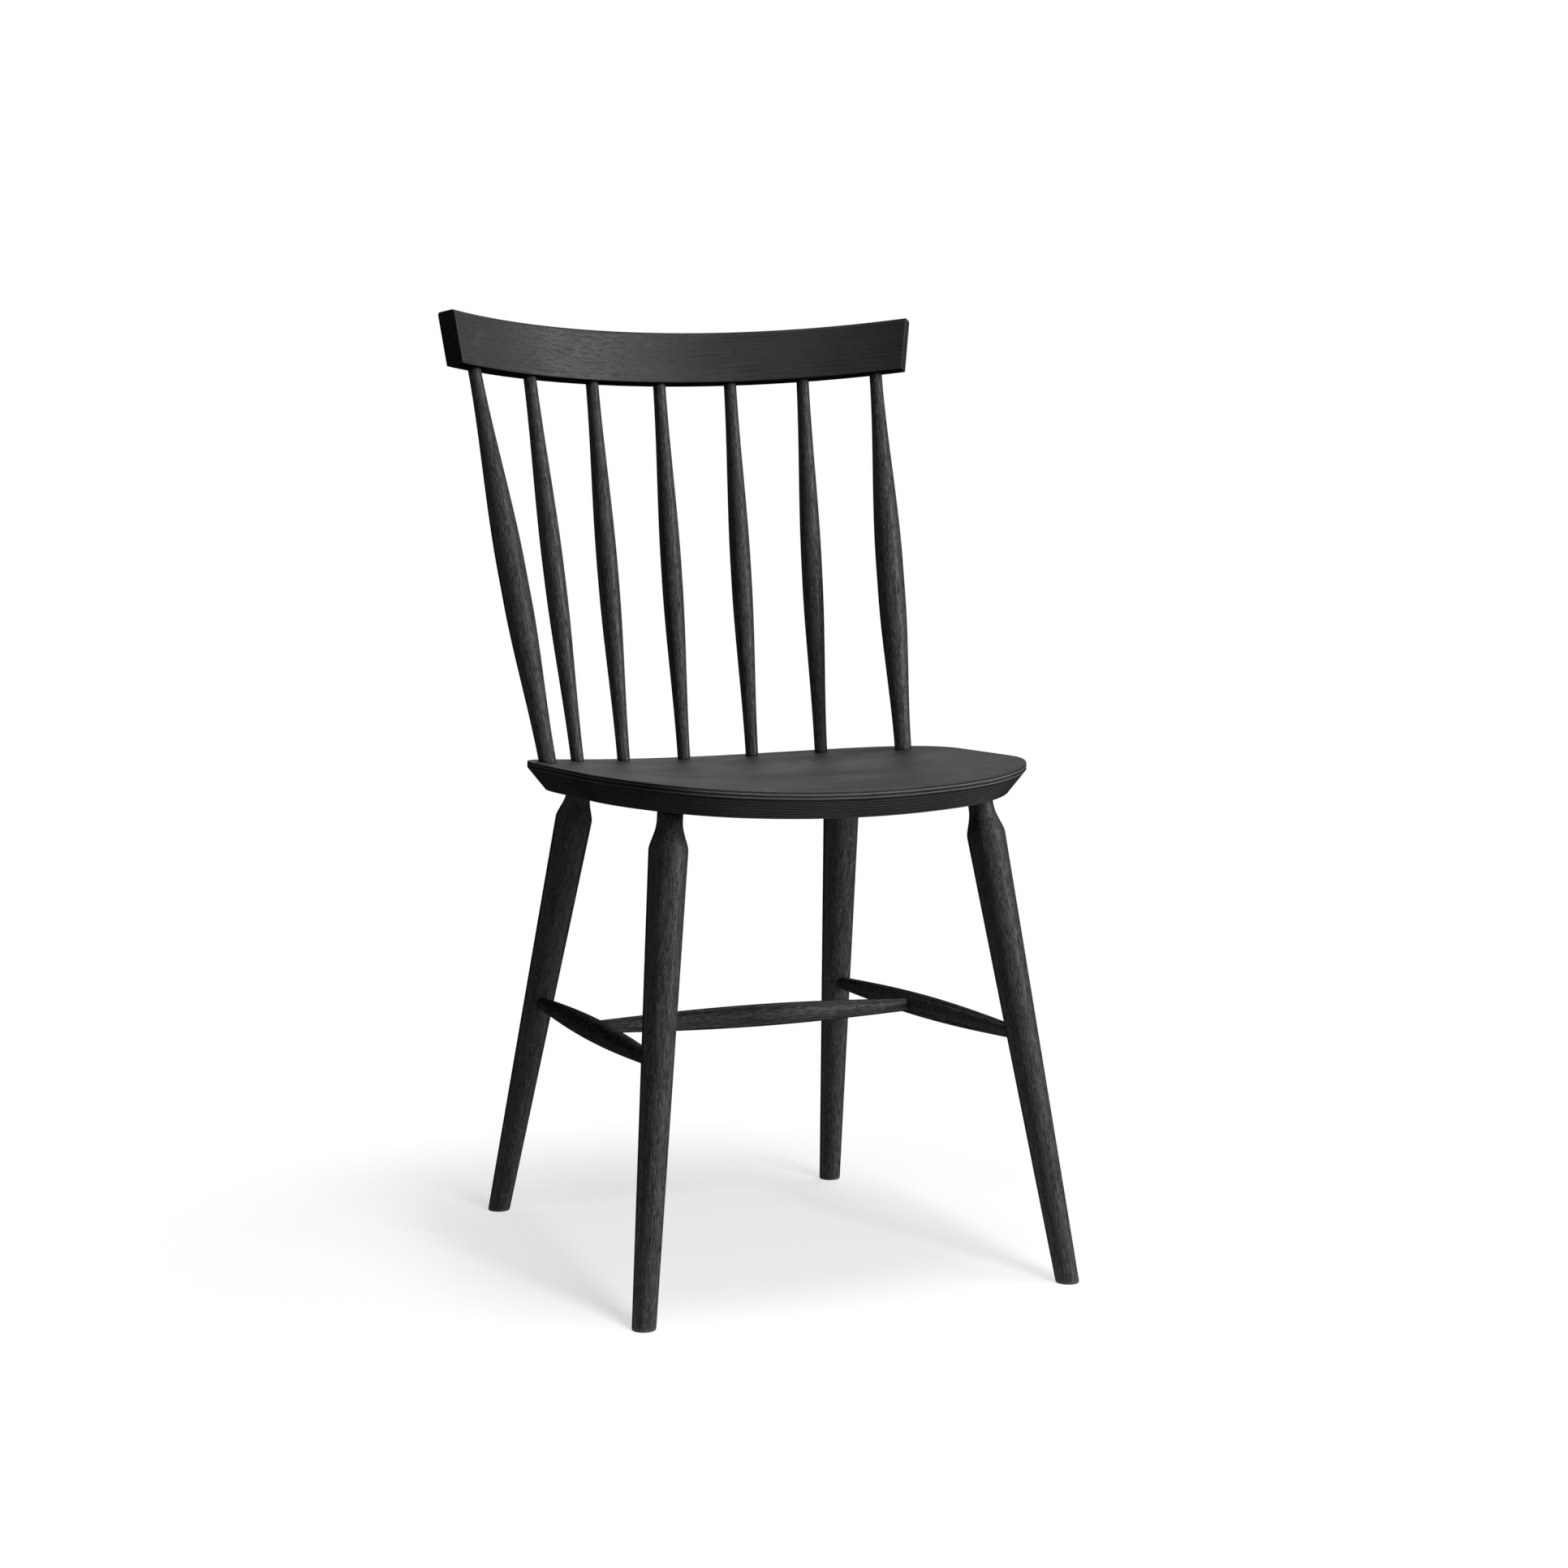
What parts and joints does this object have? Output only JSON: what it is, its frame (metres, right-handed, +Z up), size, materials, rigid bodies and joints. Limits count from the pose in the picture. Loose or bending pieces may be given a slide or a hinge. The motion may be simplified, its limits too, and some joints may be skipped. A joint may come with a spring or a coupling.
{
  "type": "spindle-back dining chair",
  "caption": "Black-stained wooden dining chair: dished plywood seat with a bevelled edge, raked turned legs with an H stretcher, and turned spindles under a bent crest rail.",
  "frame": {"origin": "on the floor, under the middle of the chair's bounding box", "axes": "+X to the right seen from the front, +Y to the back of the chair, +Z up"},
  "size_m": [0.4932, 0.5192, 0.8818],
  "materials": {
    "seat": "black-stained plywood under a satin lacquer, its plies showing at the bevelled edge",
    "crest": "black-stained open-grain wood under a satin lacquer",
    "turned": "black-stained open-grain turned wood under a satin lacquer"
  },
  "bodies": {
    "root": {"seat": "seat", "crest_rail": "crest", "outer_spindle_left": "turned", "outer_spindle_right": "turned", "inner_spindle_1": "turned", "inner_spindle_2": "turned", "inner_spindle_3": "turned", "inner_spindle_4": "turned", "inner_spindle_5": "turned", "front_leg_left": "turned", "front_leg_right": "turned", "rear_leg_left": "turned", "rear_leg_right": "turned", "side_stretcher_left": "turned", "side_stretcher_right": "turned", "cross_stretcher": "turned"}
  },
  "joints": []
}
